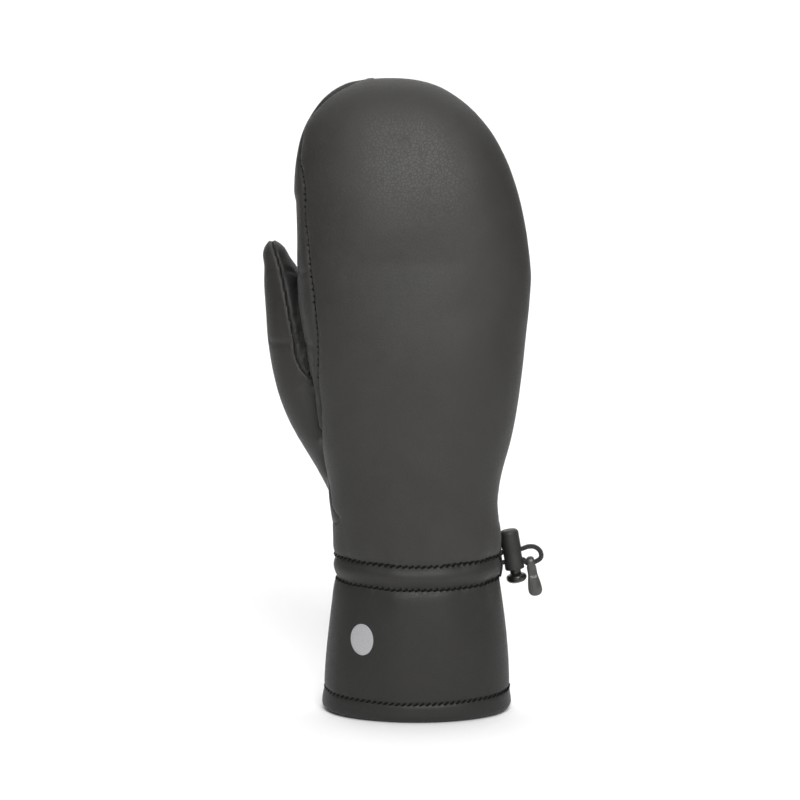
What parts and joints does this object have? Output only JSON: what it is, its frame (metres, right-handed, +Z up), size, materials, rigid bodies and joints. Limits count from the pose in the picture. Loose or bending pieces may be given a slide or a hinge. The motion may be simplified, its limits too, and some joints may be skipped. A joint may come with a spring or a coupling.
{
  "type": "ski mitten",
  "caption": "Right-hand insulated leather ski mitten with a separate thumb, a fleece lining and a wrist drawcord closed by a sprung barrel cord lock with a pull tab.",
  "frame": {"origin": "middle of the bounding box without the cord's free loop and its tab, on the cuff's hem, which is the face the mitten stands on", "axes": "+Z up from the cuff's mouth to the fingertip, the back of the hand towards -Y, the palm towards +Y, the thumb towards -X and the cord lock towards +X"},
  "size_m": [0.1318, 0.0638, 0.29],
  "materials": {
    "shell_leather": "smooth charcoal goatskin on the back, palm, cuff and casing",
    "side_leather": "smooth charcoal goatskin on the gusset, thumb and wrist",
    "membrane": "thin breathable waterproof film, milky white",
    "insulation": "lofted synthetic fibre wadding, off-white",
    "fleece": "brushed fleece, near black",
    "thread": "bonded black polyester thread",
    "elastic_cord": "braided black elastic cord",
    "lock_plastic": "moulded black plastic with a fine sandy grain",
    "knob_plastic": "moulded black plastic, slightly glossy",
    "spring_steel": "plain drawn spring wire",
    "tab_rubber": "moulded soft grey-black rubber with fine ribs",
    "strap_leather": "thin charcoal leather",
    "reflective_film": "silver retroreflective transfer film"
  },
  "bodies": {
    "mitten": {"back_panel": "shell_leather", "index_side_gusset": "side_leather", "palm_panel": "shell_leather", "palm_wrist_panel": "side_leather", "thumb_outer_panel": "side_leather", "thumb_inner_panel": "side_leather", "drawcord_casing": "shell_leather", "cuff_panel": "shell_leather", "waterproof_insert": "membrane", "thumb_insulation": "insulation", "back_insulation": "insulation", "palm_insulation": "insulation", "cuff_insulation": "insulation", "hand_lining": "fleece", "cuff_lining": "fleece", "upper_casing_stitching": "thread", "lower_casing_stitching": "thread", "hem_stitching": "thread", "reflective_mark": "reflective_film", "drawcord": "elastic_cord", "lock_keeper_strap": "strap_leather", "cord_lock_barrel": "lock_plastic"},
    "plunger": {"cord_lock_plunger": "knob_plastic", "cord_lock_spring": "spring_steel"},
    "cord_loop": {"drawcord_loop": "elastic_cord"},
    "tab": {"pull_tab": "tab_rubber"}
  },
  "joints": [
    {"name": "plunger_press", "type": "slide", "parent": "mitten", "child": "plunger", "axis": [-0.1736, 0, 0.9848], "range_m": [0, 0.002], "stiffness_N_per_m": 1500, "springref_m": -0.0013, "deforming": ["cord_lock_spring"]},
    {"name": "loop_pull", "type": "slide", "parent": "mitten", "child": "cord_loop", "axis": [0.9848, 0, 0.1736], "range_m": [0, 0.03], "deforming": ["drawcord_loop"]},
    {"name": "tab_swing", "type": "hinge", "parent": "cord_loop", "child": "tab", "pos_m": [0.06381, 0.00879, 0.06586], "axis": [0.9848, 0, 0.1736], "range_deg": [-80, 80]}
  ]
}
